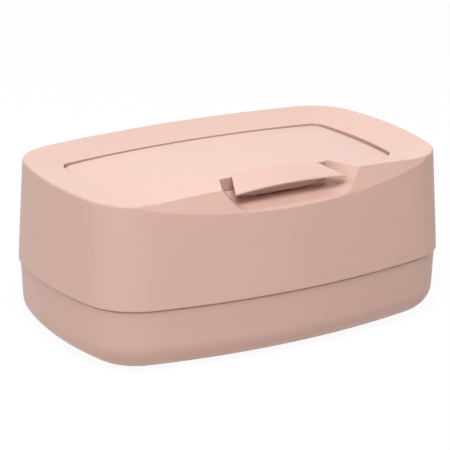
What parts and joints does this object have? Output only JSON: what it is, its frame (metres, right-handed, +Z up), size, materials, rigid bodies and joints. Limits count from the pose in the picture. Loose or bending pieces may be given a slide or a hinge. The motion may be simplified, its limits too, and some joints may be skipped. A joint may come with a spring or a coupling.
{
  "type": "wipes box",
  "caption": "Rounded countertop box for a stack of wet wipes, with a lift-off hood, a flush hinged lid let go by an arched push tab, and a loose slotted weight plate.",
  "frame": {"origin": "on the surface that the box stands on, under the middle of its outline", "axes": "+X to the right along the length, -Y towards the front with the push tab, +Z up"},
  "size_m": [0.2198, 0.1428, 0.095],
  "materials": {
    "shell": "satin moulded plastic, blush pink",
    "lid": "satin moulded plastic, blush pink",
    "tab": "satin moulded plastic, blush pink",
    "seal": "soft silicone",
    "feet": "soft non-slip rubber",
    "plate": "satin moulded plastic",
    "steel": "drawn steel"
  },
  "bodies": {
    "tub": {"tub": "shell", "tub_seal": "seal", "foot_front_left": "feet", "foot_front_right": "feet", "foot_rear_left": "feet", "foot_rear_right": "feet"},
    "hood": {"hood": "shell", "tab_pin": "steel", "tab_spring": "steel", "bumper_left": "seal", "bumper_right": "seal"},
    "lid": {"lid": "lid", "lid_gasket": "seal", "hinge_pin_left": "steel", "hinge_pin_right": "steel"},
    "tab": {"push_tab": "tab"},
    "plate": {"plate_base": "plate", "plate_cover": "plate", "weight_left": "steel", "weight_right": "steel", "plate_screws": "steel"}
  },
  "joints": [
    {"name": "hood_lift", "type": "slide", "parent": "tub", "child": "hood", "axis": [0, 0, 1], "range_m": [0, 0.06]},
    {"name": "lid_hinge", "type": "hinge", "parent": "hood", "child": "lid", "pos_m": [0, 0.03031, 0.08189], "axis": [-1, 0, 0], "range_deg": [0, 90]},
    {"name": "tab_press", "type": "hinge", "parent": "hood", "child": "tab", "pos_m": [0, -0.04851, 0.0795], "axis": [1, 0, 0], "range_deg": [0, 8], "stiffness_Nm_per_rad": 0.15, "springref_deg": -5.73, "deforming": ["tab_spring"]},
    {"name": "plate_lift", "type": "slide", "parent": "tub", "child": "plate", "axis": [0, 0, 1], "range_m": [0, 0.045]}
  ]
}
